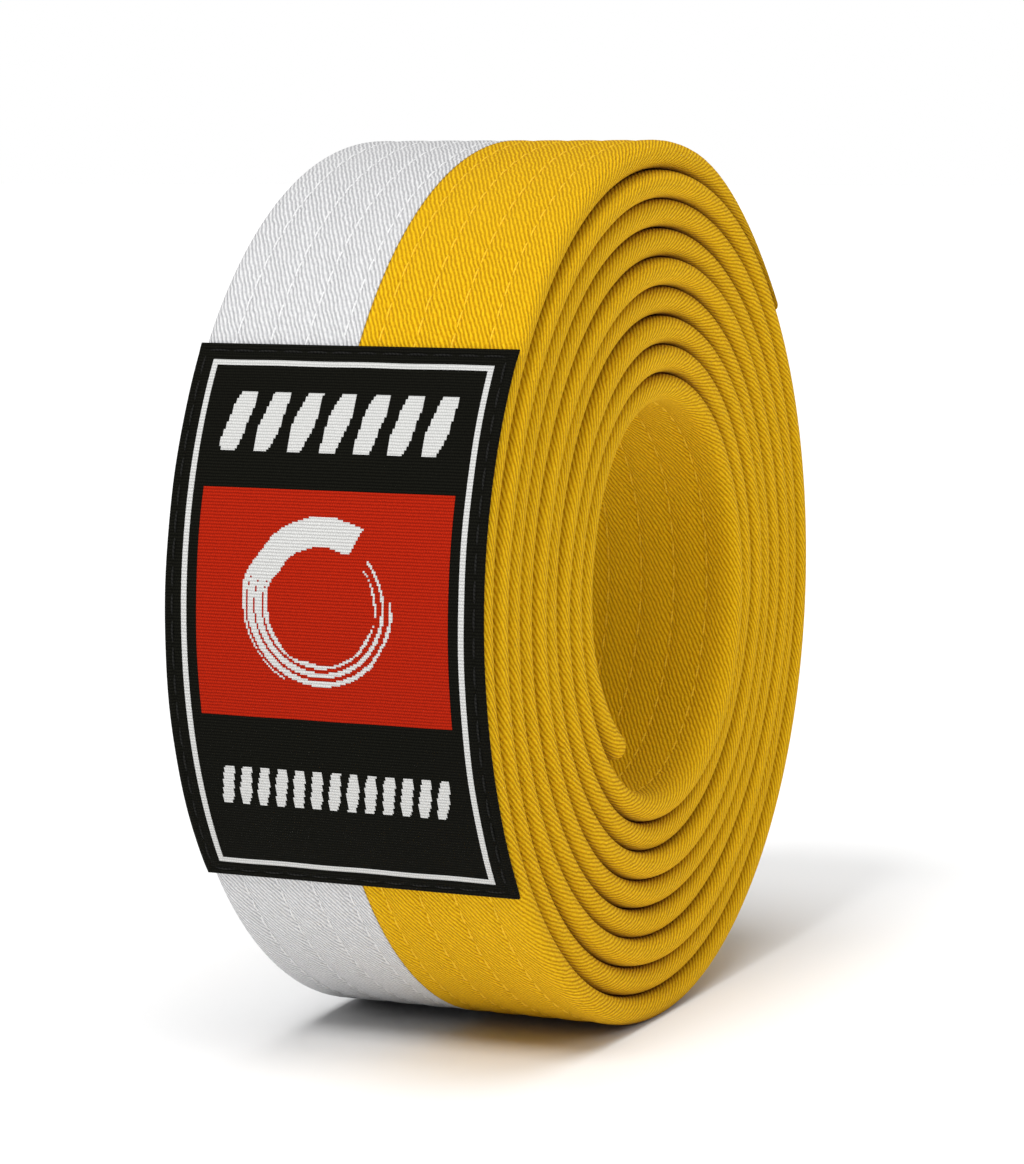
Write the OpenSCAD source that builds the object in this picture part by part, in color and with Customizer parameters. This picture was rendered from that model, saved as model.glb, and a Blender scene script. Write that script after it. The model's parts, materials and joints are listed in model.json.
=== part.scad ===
// Two-colour martial arts belt, rolled up and standing on its rim.
// X runs across the belt: the white half is on the -X side and the yellow half on the +X side.
// The label faces -Y, +Z is up, and the origin is the middle of the flat where the roll rests.
// Angles along the strip are in degrees from the -Y direction towards +Z. They keep growing as the
// strip winds outwards, so one turn is 360 and the outer end is at a little over eight and a half turns.

/* [Belt strip] */
// Width of the belt
belt_w = 40; // [38:0.5:42]
// Thickness of the finished belt
belt_t = 3.4; // [3.3:0.1:3.8]
// Thickness of the twill cover
cover_t = 0.6; // [0.55:0.05:0.65]
// Outside radius of the folded long edges
fold_r = 1.25; // [1.2:0.05:1.4]

/* [Roll] */
// Radius of the eye of the roll
eye_r = 22.1; // [20:0.1:26]
// Air between one wrap and the next
wrap_gap = 0.1; // [0.08:0.02:0.2]
// Depth of the flat that the roll's own weight presses into its rim
foot_depth = 0.1; // [0.06:0.02:0.14]
// Angle at which the inner end of the belt stops
inner_end = -55; // [-66:1:-48]
// Angle at which the inner end leaves the next wrap
inner_hinge = -12; // [-20:1:-8]
// How far the inner end leans into the eye at rest
inner_lean = 5; // [3:0.5:7]
// Angle, on the last turn, at which the loose outer end starts
outer_hinge = 47; // [42:1:60]
// Angle, on the last turn, at which the outer end stops
outer_end = 140; // [130:1:150]

/* [Stitching] */
// Distance from one lengthwise row to the next
row_pitch = 4.5; // [4.2:0.1:4.6]
// Radius of the sewing thread
thread_r = 0.16; // [0.12:0.01:0.17]
// Length of the plain hem at each end of the belt
hem_len = 9; // [8:0.5:12]

/* [Label] */
// Width of the woven label
label_w = 38.6; // [36:0.2:39]
// Thickness of the woven label
label_t = 0.5; // [0.3:0.05:0.6]
// Lower edge of the label
label_low = -35; // [-38:0.5:-32]
// Upper edge of the label
label_high = 34.5; // [32:0.5:38]
// Width of the white frame line
frame_line = 0.65; // [0.4:0.05:0.9]
// Distance from the label's edge to the frame line
frame_inset = 2.3; // [2:0.1:3]
// Width of the red field
field_w = 31; // [26:0.5:32]
// Half of the red field's height, as an angle
field_half = 13.7; // [10:0.1:15]
// Outside radius of the ring emblem
emblem_r = 8.6; // [6:0.1:10]

/* [Hidden] */

white = "white";
yellow = "gold";
cotton = "ivory";
red = "firebrick";
black = "black";

round_fn = 240;       // facets of a full turn in the preview
small_fn = 24;        // facets of a fold in the preview
thread_fn = 6;        // a thread is drawn as a bar with six flats
slack = 0.04;         // clearance between layers that lie on each other
joint_slack = 0.15;   // clearance between the two faces at a hinge
end_wall = 0.8;       // folded-in cloth that closes each end of the belt
rows_per_half = 4;
ply_count = 4;
hem_rows = 2;
turns_before_label = 8;

pitch = belt_t + wrap_gap;
label_turn = 360 * turns_before_label;      // angle of the label's middle line, facing -Y
label_arc = 2 * turns_before_label;         // number of the half turn that carries the label
outer_r = eye_r + label_arc * pitch / 2 + belt_t;
roll_z = outer_r - foot_depth;              // height of the roll's centre
cavity_t = belt_t - 2 * cover_t;
ply_t = (cavity_t - (ply_count + 1) * slack) / ply_count;
ply_trim = 0.5;                             // how much the outer plies stop short, at the rounded folds
channel_r = thread_r + slack;
thread_depth = foot_depth + thread_r + slack / 2; // depth of a thread's middle, clear of the foot's flat
seam_gap = 0.06;                            // between the white panel and the yellow one
seam_thread_r = 0.12;
seam_room = 2 * (seam_thread_r + slack);    // what the cover gives up round the seam, for its threads
outer_step = (outer_end - outer_hinge) / 3; // each of the three loose lengths of the outer end
label_r = outer_r + slack / 2;              // underside of the label
label_top = label_r + label_t;
inlay_t = 0.16;                             // height of the woven figures above the patch
frame_w = label_w - 2 * frame_inset;
bar_w = 29;
upper_bar = [20.4, 28];                     // angles of the upper bar
lower_bar = [-23.3, -18];                   // angles of the lower bar
field_mid = 2.2;
emblem_ring = 1.9;
edge_inset = 1.1;                           // distance of the edge stitching from the label's edge
cut_reach = 3;                              // how far the emblem's cuts reach to each side of the label's face

// ---- the spiral: half turns that meet straight above and below the roll's centre ----
// The front halves turn about the roll's centre and the back halves about a point half a pitch lower.

function arc_r(k) = eye_r + k * pitch / 2;
function arc_start(k) = 180 * k - 90;
function arc_of(angle) = floor((angle + 90) / 180);
function arc_centre(k) = [0, 0, k % 2 == 0 ? roll_z : roll_z - pitch / 2];
function tidy(angle) = round(100 * angle) / 100;
function to_deg(length, r) = length / r * 180 / PI;
function outer_angle(i) = label_turn + outer_hinge + i * outer_step;
function row_x(i) = (i + 0.5) * row_pitch;

// Turns a [radius, X] profile about the roll's axis, from one angle to another.
// The angles are kept to a hundredth of a degree, so that neighbouring arcs meet exactly.
module turn(from, to) {
    rotate([90, 0, -90])
        rotate_extrude(angle = tidy(to) - tidy(from), start = tidy(from % 360), $fn = round_fn)
            mirror([0, 1])
                children();
}

// Sweeps a profile, drawn up from the belt's inner face, along the strip.
module strip(from, to) {
    for (k = [arc_of(from) : arc_of(to - 0.001)])
        translate(arc_centre(k))
            turn(max(tidy(from), arc_start(k)), min(tidy(to), arc_start(k + 1)))
                translate([arc_r(k), 0])
                    children();
}

// ---- cross-sections, with X as the distance from the belt's inner face and Y across the belt ----

module rounded_bar(t, w, r) {
    translate([0, -w / 2 + r]) square([t, w - 2 * r]);
    translate([r, -w / 2]) square([t - 2 * r, w]);
    for (x = [r, t - r], y = [-w / 2 + r, w / 2 - r])
        translate([x, y]) circle(r, $fn = small_fn);
}

module half_plane(side) {
    translate([-belt_t, side > 0 ? seam_gap / 2 : -belt_w - seam_gap / 2])
        square([3 * belt_t, belt_w]);
}

// A square-cut channel that holds one thread and is open to the belt's face.
module channel(depth_dir, x, y) {
    translate([depth_dir > 0 ? x - channel_r : x - 2 * channel_r, y - channel_r])
        square([3 * channel_r, 2 * channel_r]);
}

module seam_threads() {
    for (x = [cover_t - seam_thread_r, belt_t - cover_t + seam_thread_r])
        translate([x, 0]) circle(seam_thread_r, $fn = thread_fn);
}

module closed_section(side) {
    intersection() {
        rounded_bar(belt_t, belt_w, fold_r);
        half_plane(side);
    }
}

// What the core and the threads take out of one half of the cover.
module room_section(side) {
    translate([cover_t, -belt_w / 2 + cover_t])
        square([cavity_t, belt_w - 2 * cover_t]);
    for (i = [0 : rows_per_half - 1]) {
        channel(1, belt_t - thread_depth, side * row_x(i));
        channel(-1, thread_depth, side * row_x(i));
    }
    translate([cover_t - seam_room, -seam_room])
        square([cavity_t + 2 * seam_room, 2 * seam_room]);
}

module cover_section(side) {
    difference() {
        closed_section(side);
        room_section(side);
    }
}

module ply_section(i) {
    trim = (i == 0 || i == ply_count - 1) ? ply_trim : 0;
    w = belt_w - 2 * (cover_t + slack + trim);
    translate([cover_t + slack + i * (ply_t + slack), -w / 2]) square([ply_t, w]);
}

module needle_section(side) {
    for (i = [0 : rows_per_half - 1])
        translate([belt_t - thread_depth, side * row_x(i)]) circle(thread_r, $fn = thread_fn);
}

module bobbin_section(side) {
    for (i = [0 : rows_per_half - 1])
        translate([thread_depth, side * row_x(i)]) circle(thread_r, $fn = thread_fn);
}

// ---- lengths of the strip: one for each body ----

module roll_length() {
    difference() {
        strip(inner_hinge + to_deg(joint_slack / 2, eye_r),
              outer_angle(0) - to_deg(joint_slack / 2, outer_r))
            children();
        foot_cut();
    }
}

module outer_length(i, short = 0) {
    strip(outer_angle(i) + to_deg(joint_slack / 2, outer_r),
          outer_angle(i + 1) - to_deg(i < 2 ? joint_slack / 2 : short, outer_r))
        children();
}

module inner_length(short = 0) {
    lean()
        strip(inner_end + to_deg(short, eye_r), inner_hinge - to_deg(joint_slack / 2, eye_r))
            children();
}

// Leans the inner end into the eye about the line where it leaves the next wrap.
module lean() {
    hinge = [0, -eye_r * cos(inner_hinge), roll_z + eye_r * sin(inner_hinge)];
    translate(hinge) rotate([inner_lean, 0, 0]) translate(-hinge)
        children();
}

module foot_cut() {
    translate([-belt_w, -outer_r, -2 * belt_t]) cube([2 * belt_w, 2 * outer_r, 2 * belt_t]);
}

// ---- covers, core and threads ----

module cover_roll(side) {
    roll_length() cover_section(side);
}

module cover_outer(i, side) {
    outer_length(i) cover_section(side);
}

// The last length of cover is closed: the room for the core stops short of the belt's end.
module cover_outer_end(side) {
    from = outer_angle(2) + to_deg(joint_slack / 2, outer_r);
    difference() {
        strip(from, outer_angle(3)) closed_section(side);
        strip(from - 1, outer_angle(3) - to_deg(end_wall, outer_r)) room_section(side);
        outer_hem_lines(channel_r, 2 * belt_w);
    }
}

module cover_inner_end(side) {
    to = inner_hinge - to_deg(joint_slack / 2, eye_r);
    difference() {
        lean() strip(inner_end, to) closed_section(side);
        lean() strip(inner_end + to_deg(end_wall, eye_r), to + 1) room_section(side);
        lean() inner_hem_lines(channel_r, 2 * belt_w);
    }
}

module core_ply_roll(i) {
    roll_length() ply_section(i);
}

module core_plies() {
    for (i = [0 : ply_count - 1])
        ply_section(i);
}

module threads(side) {
    needle_section(side);
    bobbin_section(side);
}

// Rows of stitches across the belt, one behind the other, near each end.
module hem_lines(end_angle, sign, r, length, face_r, centre) {
    for (i = [1 : hem_rows]) {
        a = end_angle + sign * to_deg(i * hem_len / (hem_rows + 1), face_r);
        translate(centre + [-length / 2, -face_r * cos(a), face_r * sin(a)])
            rotate([0, 90, 0])
                cylinder(r = r, h = length, $fn = thread_fn);
    }
}

module outer_hem_lines(r, length) {
    k = arc_of(outer_angle(3));
    hem_lines(outer_end, -1, r, length, arc_r(k) + belt_t - thread_depth, arc_centre(k));
}

module inner_hem_lines(r, length) {
    hem_lines(inner_end, 1, r, length, eye_r + thread_depth, arc_centre(0));
}

// ---- the label: a patch with woven figures, sewn on round its edge ----

module on_label(r, t, from, to, x0, x1) {
    translate([0, 0, roll_z]) turn(from, to) translate([r, x0]) square([t, x1 - x0]);
}

module label_patch() {
    color(black) on_label(label_r, label_t, label_low, label_high, -label_w / 2, label_w / 2);
}

module label_frame_line() {
    inset = to_deg(frame_inset, label_top);
    line = to_deg(frame_line, label_top);
    color(white) difference() {
        on_label(label_top + slack / 4, inlay_t, label_low + inset, label_high - inset,
                 -frame_w / 2, frame_w / 2);
        on_label(label_top - inlay_t, 3 * inlay_t, label_low + inset + line, label_high - inset - line,
                 -frame_w / 2 + frame_line, frame_w / 2 - frame_line);
    }
}

module emblem_ring_cut(r, reach) {
    a = field_mid;
    translate([0, 0, roll_z])
        rotate([-a, 0, 0])
            translate([0, -label_top, 0])
                rotate([90, 0, 0])
                    translate([0, 0, -reach]) cylinder(r = r, h = 2 * reach, $fn = 96);
}

module label_red_field() {
    color(red) difference() {
        on_label(label_top + slack / 4, inlay_t, field_mid - field_half, field_mid + field_half,
                 -field_w / 2, field_w / 2);
        difference() {
            emblem_ring_cut(emblem_r + slack, cut_reach);
            emblem_ring_cut(emblem_r - emblem_ring - slack, cut_reach + 1);
        }
    }
}

module label_emblem() {
    color(white) intersection() {
        on_label(label_top + slack / 4, inlay_t, field_mid - field_half, field_mid + field_half,
                 -field_w / 2, field_w / 2);
        difference() {
            emblem_ring_cut(emblem_r, cut_reach);
            emblem_ring_cut(emblem_r - emblem_ring, cut_reach + 1);
        }
    }
}

module label_bar(span) {
    color(white) on_label(label_top + slack / 4, inlay_t, span[0], span[1], -bar_w / 2, bar_w / 2);
}

module label_upper_bar() { label_bar(upper_bar); }

module label_lower_bar() { label_bar(lower_bar); }

module label_edge_stitches() {
    r = label_top + thread_r + slack / 4;
    inset = to_deg(edge_inset, label_top);
    x_edge = label_w / 2 - edge_inset;
    color(black) {
        for (x = [-x_edge, x_edge])
            translate([0, 0, roll_z]) turn(label_low + inset, label_high - inset)
                translate([r, x]) circle(thread_r, $fn = thread_fn);
        for (a = [label_low + inset, label_high - inset])
            translate([-x_edge + 2 * thread_r, -r * cos(a), roll_z + r * sin(a)]) rotate([0, 90, 0])
                cylinder(r = thread_r, h = 2 * x_edge - 4 * thread_r, $fn = thread_fn);
    }
}

// ---- nodes ----

module white_cover_roll() { color(white) cover_roll(-1); }
module yellow_cover_roll() { color(yellow) cover_roll(1); }
module core_ply_1_roll() { color(cotton) core_ply_roll(0); }
module core_ply_2_roll() { color(cotton) core_ply_roll(1); }
module core_ply_3_roll() { color(cotton) core_ply_roll(2); }
module core_ply_4_roll() { color(cotton) core_ply_roll(3); }
module white_needle_threads_roll() { color(white) roll_length() needle_section(-1); }
module yellow_needle_threads_roll() { color(yellow) roll_length() needle_section(1); }
module white_bobbin_threads_roll() { color(white) roll_length() bobbin_section(-1); }
module yellow_bobbin_threads_roll() { color(yellow) roll_length() bobbin_section(1); }
module panel_seam_roll() { color(white) roll_length() seam_threads(); }

module white_cover_outer_1() { color(white) cover_outer(0, -1); }
module yellow_cover_outer_1() { color(yellow) cover_outer(0, 1); }
module core_plies_outer_1() { color(cotton) outer_length(0) core_plies(); }
module white_threads_outer_1() { color(white) outer_length(0) threads(-1); }
module yellow_threads_outer_1() { color(yellow) outer_length(0) threads(1); }
module panel_seam_outer_1() { color(white) outer_length(0) seam_threads(); }

module white_cover_outer_2() { color(white) cover_outer(1, -1); }
module yellow_cover_outer_2() { color(yellow) cover_outer(1, 1); }
module core_plies_outer_2() { color(cotton) outer_length(1) core_plies(); }
module white_threads_outer_2() { color(white) outer_length(1) threads(-1); }
module yellow_threads_outer_2() { color(yellow) outer_length(1) threads(1); }
module panel_seam_outer_2() { color(white) outer_length(1) seam_threads(); }

module white_cover_outer_3() { color(white) cover_outer_end(-1); }
module yellow_cover_outer_3() { color(yellow) cover_outer_end(1); }
module core_plies_outer_3() { color(cotton) outer_length(2, end_wall + slack) core_plies(); }
module white_threads_outer_3() { color(white) outer_length(2, hem_len) threads(-1); }
module yellow_threads_outer_3() { color(yellow) outer_length(2, hem_len) threads(1); }
module panel_seam_outer_3() { color(white) outer_length(2, hem_len) seam_threads(); }
module outer_hem_stitches() { color(yellow) outer_hem_lines(thread_r, belt_w - 4 * fold_r); }

module white_cover_inner() { color(white) cover_inner_end(-1); }
module yellow_cover_inner() { color(yellow) cover_inner_end(1); }
module core_plies_inner() { color(cotton) inner_length(end_wall + slack) core_plies(); }
module white_threads_inner() { color(white) inner_length(hem_len) threads(-1); }
module yellow_threads_inner() { color(yellow) inner_length(hem_len) threads(1); }
module panel_seam_inner() { color(white) inner_length(hem_len) seam_threads(); }
module inner_hem_stitches() { color(yellow) lean() inner_hem_lines(thread_r, belt_w - 4 * fold_r); }

white_cover_roll();
yellow_cover_roll();
core_ply_1_roll();
core_ply_2_roll();
core_ply_3_roll();
core_ply_4_roll();
white_needle_threads_roll();
yellow_needle_threads_roll();
white_bobbin_threads_roll();
yellow_bobbin_threads_roll();
panel_seam_roll();
label_patch();
label_frame_line();
label_red_field();
label_emblem();
label_upper_bar();
label_lower_bar();
label_edge_stitches();
white_cover_outer_1();
yellow_cover_outer_1();
core_plies_outer_1();
white_threads_outer_1();
yellow_threads_outer_1();
panel_seam_outer_1();
white_cover_outer_2();
yellow_cover_outer_2();
core_plies_outer_2();
white_threads_outer_2();
yellow_threads_outer_2();
panel_seam_outer_2();
white_cover_outer_3();
yellow_cover_outer_3();
core_plies_outer_3();
white_threads_outer_3();
yellow_threads_outer_3();
panel_seam_outer_3();
outer_hem_stitches();
white_cover_inner();
yellow_cover_inner();
core_plies_inner();
white_threads_inner();
yellow_threads_inner();
panel_seam_inner();
inner_hem_stitches();
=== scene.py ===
"""The looks of a rolled two-colour martial arts belt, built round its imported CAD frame.

X runs across the belt (the white half on -X, the yellow half on +X), the label faces -Y and +Z is up.
A place along the strip is a turn: an angle in degrees from -Y towards +Z that keeps growing as the strip
winds outwards. Depth is the height above the face of the belt that looks at the roll's eye.
"""
import json
import math

import bmesh
import bpy
import numpy as np
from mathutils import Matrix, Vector


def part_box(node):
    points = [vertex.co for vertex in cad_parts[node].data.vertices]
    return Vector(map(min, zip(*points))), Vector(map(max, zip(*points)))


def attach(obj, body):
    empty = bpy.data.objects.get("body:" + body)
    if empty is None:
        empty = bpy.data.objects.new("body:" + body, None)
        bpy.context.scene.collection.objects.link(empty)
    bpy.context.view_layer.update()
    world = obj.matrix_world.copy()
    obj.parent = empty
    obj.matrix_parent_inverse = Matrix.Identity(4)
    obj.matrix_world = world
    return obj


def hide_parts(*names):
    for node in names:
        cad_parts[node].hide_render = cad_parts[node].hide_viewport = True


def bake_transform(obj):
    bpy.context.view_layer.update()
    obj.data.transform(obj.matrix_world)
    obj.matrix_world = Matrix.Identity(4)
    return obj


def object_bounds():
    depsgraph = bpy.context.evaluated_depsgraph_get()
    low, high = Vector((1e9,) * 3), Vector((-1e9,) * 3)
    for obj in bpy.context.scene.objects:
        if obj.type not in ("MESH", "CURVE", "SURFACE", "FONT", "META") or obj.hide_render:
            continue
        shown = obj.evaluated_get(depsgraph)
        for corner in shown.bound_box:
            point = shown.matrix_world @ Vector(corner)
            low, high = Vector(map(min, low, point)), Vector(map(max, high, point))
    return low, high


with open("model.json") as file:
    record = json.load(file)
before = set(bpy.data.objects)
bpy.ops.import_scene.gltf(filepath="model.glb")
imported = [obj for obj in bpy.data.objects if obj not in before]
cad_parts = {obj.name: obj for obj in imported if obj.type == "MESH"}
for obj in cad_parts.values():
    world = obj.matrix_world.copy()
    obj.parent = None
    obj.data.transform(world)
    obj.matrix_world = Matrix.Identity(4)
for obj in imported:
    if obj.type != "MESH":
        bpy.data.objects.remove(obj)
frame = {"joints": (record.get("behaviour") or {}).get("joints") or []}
cad_low, cad_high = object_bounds()

MM = 0.001

# ---- places and sizes, from the frame ----

JOINT_AT = {joint["name"]: Vector(joint["pos_m"]) for joint in frame["joints"]}
WRAPS_UNDER_LABEL = 8
LABEL_TURN = 360 * WRAPS_UNDER_LABEL
INNER_END = -55
INNER_HINGE = -12
OUTER_HINGE = LABEL_TURN + 47
OUTER_END = LABEL_TURN + 140
OUTER_HINGE_COUNT = 3
OUTER_STEP = (OUTER_END - OUTER_HINGE) / OUTER_HINGE_COUNT
OUTER_HINGES = [OUTER_HINGE + i * OUTER_STEP for i in range(OUTER_HINGE_COUNT)]
INNER_LEAN = 5               # how far the inner end leans into the eye at rest, in degrees

eye_radius = -JOINT_AT["inner_end_swing"].y / math.cos(math.radians(INNER_HINGE))
outer_radius = -JOINT_AT["outer_end_peel_1"].y / math.cos(math.radians(OUTER_HINGE))
roll_height = JOINT_AT["outer_end_peel_1"].z - outer_radius * math.sin(math.radians(OUTER_HINGE))
half_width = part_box("yellow_cover_roll")[1].x
LABEL_BULGE = 0.4 * MM       # how far the label's soft turned-in hem stands past its CAD edge
label_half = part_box("label_patch")[1].x + LABEL_BULGE

WRAP_GAP = 0.1 * MM
belt_thick = (outer_radius - eye_radius - WRAPS_UNDER_LABEL * WRAP_GAP) / (WRAPS_UNDER_LABEL + 1)
wrap_pitch = belt_thick + WRAP_GAP

# ---- the belt's cloth and stitching ----

SEAM_HALF = 0.01 * MM        # half of the joint between the white and the yellow panel
ROW_PITCH = 4.5 * MM         # from one lengthwise row of stitches to the next
ROWS_PER_HALF = 4
ROW_X = [(i + 0.5) * ROW_PITCH for i in range(ROWS_PER_HALF)]
GROOVE = 0.26 * MM           # how deep the stitches pull the cloth in
EDGE_REACH = 2.0 * MM        # width of the rounded fold along each edge
EDGE_POWER = 2.25            # 2 is a round fold, more is a squarer one
EDGE_POINTS = 14             # points round the fold
EDGE_FALLOFF = 6             # how quickly the unevenness of an edge dies away towards mid-width
EDGE_BIAS = 0.4              # the edges wander further inwards than outwards
EDGE_WANDER = 0.32 * MM      # unevenness of the folded edges across the belt
EDGE_SWELL = 0.10 * MM       # unevenness of the folded edges through the roll
WANDER_SEED, SWELL_SEED = 1, 3
END_ROUND = 1.3 * MM         # length over which each end of the belt rounds off
END_LIP = 0.45               # what is left of the thickness at the lip of a rounded end
END_SHARES = (0.04, 0.12, 0.3, 0.6, 1.0)    # cross-sections over that length
OUTER_TAPER = 36 * MM        # length over which the outer end thins towards its hem
OUTER_THIN = 0.17            # what is left of the thickness at its tip
TURN_STEP = 2.5              # degrees from one cross-section to the next
STITCH_PITCH = 3.1 * MM
STITCH_LENGTH = 2.75 * MM
STITCH_RISE = 1.35           # how far a stitch stands up, in thread radii
STITCH_FULLNESS = 0.6        # less makes a flatter stitch that dives more steeply
STITCH_TIP = 0.5             # how thick a thread is where it dives, beside its middle
THREAD_RADIUS = 0.14 * MM
HEM_LENGTH = 9 * MM
HEM_ROWS = 2

# Half of the stretch, in degrees, over which the belt bends at an inner or an outer hinge
INNER_BEND = 18
OUTER_BEND = 15.4

# Where one length of the belt hands over to the next: past the inner bend, and half way between outer hinges
INNER_BORDER = 35.0
OUTER_BORDERS = [OUTER_HINGE - OUTER_STEP / 2]
OUTER_BORDERS += [turn + OUTER_STEP / 2 for turn in OUTER_HINGES[:-1]] + [OUTER_END]


def smooth_step(t):
    t = np.clip(t, 0, 1)
    return t * t * (3 - 2 * t)


def lean(turn, y, z):
    """Leans the inner end into the eye, building up over the stretch that bends with its joint."""
    hinge = JOINT_AT["inner_end_swing"]
    angle = math.radians(INNER_LEAN) * smooth_step((INNER_HINGE + INNER_BEND - turn) / (2 * INNER_BEND))
    dy, dz = y - hinge.y, z - hinge.z
    leaned_y = hinge.y + dy * np.cos(angle) - dz * np.sin(angle)
    leaned_z = hinge.z + dy * np.sin(angle) + dz * np.cos(angle)
    return leaned_y, leaned_z


def strip_at(turn, depth):
    """(y, z) of a place on the strip. The front half turns wind round the roll's centre and the back ones
    half a pitch lower, and the rim is pressed flat where the roll stands."""
    half_turn = np.floor((turn + 90) / 180)
    radius = eye_radius + half_turn * wrap_pitch / 2 + depth
    centre = roll_height - np.where(half_turn % 2 == 0, 0.0, wrap_pitch / 2)
    angle = np.radians(turn)
    y = -radius * np.cos(angle)
    z = np.maximum(centre + radius * np.sin(angle), cad_low.z)
    return lean(turn, y, z)


# Length of belt, along its middle, from the inner end to each turn
FINE_STEP = 0.5
FINE_TURNS = np.arange(INNER_END, OUTER_END + FINE_STEP, FINE_STEP)
MID_RADII = eye_radius + np.floor((FINE_TURNS + 90) / 180) * wrap_pitch / 2 + belt_thick / 2
LENGTHS = np.concatenate([[0], np.cumsum(MID_RADII[1:] * np.radians(np.diff(FINE_TURNS)))])


def length_at(turn):
    return np.interp(turn, FINE_TURNS, LENGTHS)


def turn_at(length):
    return np.interp(length, LENGTHS, FINE_TURNS)


WANDER_WAVES = ((0.61, 1.0), (1.37, 0.7), (3.31, 0.35))     # (rate, size), rates that stay out of step
WANDER_PHASE = 2.3
WANDER_PEAK = 1.6


def wander(turn, seed):
    """A smooth unevenness along the strip, between about -1 and 1, the same on every run."""
    angle = np.radians(turn)
    total = 0.0
    for i, (rate, size) in enumerate(WANDER_WAVES):
        total = total + size * np.sin(rate * angle + WANDER_PHASE * seed * (i + 1))
    return total / WANDER_PEAK


# ---- meshes ----

def make_mesh(name, points, faces, uv, material, sharp_rings=None):
    """A mesh from points, four-cornered faces and one (u, v) in millimetres for each face corner."""
    mesh = bpy.data.meshes.new(name)
    mesh.from_pydata(points.reshape(-1, 3).tolist(), [], faces.tolist())
    mesh.uv_layers.new(name="weave").data.foreach_set("uv", (uv / MM).astype(np.float32).ravel())
    mesh.materials.append(material)
    turn_outwards(mesh)
    mesh.shade_smooth()
    if sharp_rings:
        mark_end_rings(mesh, *sharp_rings)
    piece = bpy.data.objects.new(name, mesh)
    bpy.context.scene.collection.objects.link(piece)
    return piece


def turn_outwards(mesh):
    """Makes every face of a closed mesh face away from its inside."""
    shape = bmesh.new()
    shape.from_mesh(mesh)
    bmesh.ops.recalc_face_normals(shape, faces=shape.faces)
    shape.to_mesh(mesh)
    shape.free()


def mark_end_rings(mesh, ring_size, ring_count):
    """Makes the edges round both end caps sharp, so that the shading runs on into the next piece."""
    ends = np.zeros(len(mesh.edges) * 2, np.int32)
    mesh.edges.foreach_get("vertices", ends)
    ring = ends.reshape(-1, 2) // ring_size
    capped = (ring[:, 0] == ring[:, 1]) & ((ring[:, 0] == 0) | (ring[:, 0] == ring_count - 1))
    mesh.attributes.new("sharp_edge", "BOOLEAN", "EDGE").data.foreach_set("value", capped)


def tube_faces(rings, size):
    """Faces of a closed tube of rings with an even number of points, and a ladder of faces over each end."""
    ring, point = np.meshgrid(np.arange(rings - 1), np.arange(size), indexing="ij")
    after = (point + 1) % size
    sides = np.stack([ring * size + point, ring * size + after,
                      (ring + 1) * size + after, (ring + 1) * size + point], axis=-1).reshape(-1, 4)
    rung = np.arange(size // 2 - 1)
    cap = np.stack([rung, size - 1 - rung, size - 2 - rung, rung + 1], axis=-1)
    return sides, np.concatenate([cap, cap[:, ::-1] + (rings - 1) * size])


def tube(name, points, along, across, material):
    """A closed tube through rings of points. The weave follows the distances along and across, in metres."""
    rings, size = points.shape[:2]
    sides, caps = tube_faces(rings, size)
    across = np.concatenate([across, across[:, :1] + (across[:, -1:] - across[:, -2:-1])], axis=1)
    uv_at = np.stack(np.broadcast_arrays(along[:, None], across), axis=-1)
    ring, point = np.meshgrid(np.arange(rings - 1), np.arange(size), indexing="ij")
    side_uv = np.stack([uv_at[ring, point], uv_at[ring, point + 1],
                        uv_at[ring + 1, point + 1], uv_at[ring + 1, point]], axis=2).reshape(-1, 4, 2)
    cap_uv = uv_at[caps // size, caps % size]
    return make_mesh(name, points, np.concatenate([sides, caps]), np.concatenate([side_uv, cap_uv]), material,
                     sharp_rings=(size, rings))


def join(name, pieces):
    """One object out of several, under a new name."""
    with bpy.context.temp_override(active_object=pieces[0], selected_editable_objects=pieces):
        bpy.ops.object.join()
    pieces[0].name = name
    pieces[0].data.name = name
    return pieces[0]


# ---- materials ----

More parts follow.
